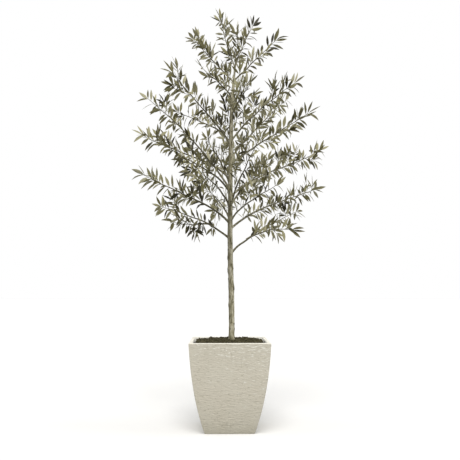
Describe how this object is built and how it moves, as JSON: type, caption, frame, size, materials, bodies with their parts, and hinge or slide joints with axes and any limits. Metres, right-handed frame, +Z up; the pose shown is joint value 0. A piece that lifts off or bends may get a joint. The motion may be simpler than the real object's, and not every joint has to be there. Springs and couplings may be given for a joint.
{
  "type": "potted olive tree",
  "caption": "Young standard olive tree, slender straight trunk with an airy conical crown of narrow leaves, in a square planter that tapers to its foot.",
  "frame": {"origin": "centre of the planter's flat underside", "axes": "+Z up along the trunk, -Y out of the planter's front face, +X to the right seen from the front"},
  "size_m": [1.0789, 0.84, 2.2435],
  "materials": {
    "pot": "matte",
    "soil": "matte",
    "bark": "matte",
    "foliage": "satin"
  },
  "bodies": {
    "root": {"pot": "pot", "soil": "soil", "trunk": "bark", "bough_right_1": "bark", "bough_right_2": "bark", "bough_right_3": "bark", "bough_right_4": "bark", "bough_right_5": "bark", "bough_right_6": "bark", "bough_right_7": "bark", "bough_left_1": "bark", "bough_left_2": "bark", "bough_left_3": "bark", "bough_left_4": "bark", "bough_left_5": "bark", "bough_left_6": "bark", "bough_left_7": "bark", "bough_front_1": "bark", "bough_front_2": "bark", "bough_front_3": "bark", "bough_front_4": "bark", "bough_front_5": "bark", "bough_front_6": "bark", "bough_back_1": "bark", "bough_back_2": "bark", "bough_back_3": "bark", "bough_back_4": "bark", "bough_back_5": "bark", "bough_back_6": "bark", "leaf_mass_right_1": "foliage", "leaf_mass_right_2": "foliage", "leaf_mass_right_3": "foliage", "leaf_mass_right_4": "foliage", "leaf_mass_right_5": "foliage", "leaf_mass_right_6": "foliage", "leaf_mass_right_7": "foliage", "leaf_mass_left_1": "foliage", "leaf_mass_left_2": "foliage", "leaf_mass_left_3": "foliage", "leaf_mass_left_4": "foliage", "leaf_mass_left_5": "foliage", "leaf_mass_left_6": "foliage", "leaf_mass_left_7": "foliage", "leaf_mass_front_1": "foliage", "leaf_mass_front_2": "foliage", "leaf_mass_front_3": "foliage", "leaf_mass_front_4": "foliage", "leaf_mass_front_5": "foliage", "leaf_mass_front_6": "foliage", "leaf_mass_back_1": "foliage", "leaf_mass_back_2": "foliage", "leaf_mass_back_3": "foliage", "leaf_mass_back_4": "foliage", "leaf_mass_back_5": "foliage", "leaf_mass_back_6": "foliage", "leaf_mass_top_1": "foliage", "leaf_mass_top_2": "foliage", "leaf_mass_top_3": "foliage"}
  },
  "joints": []
}
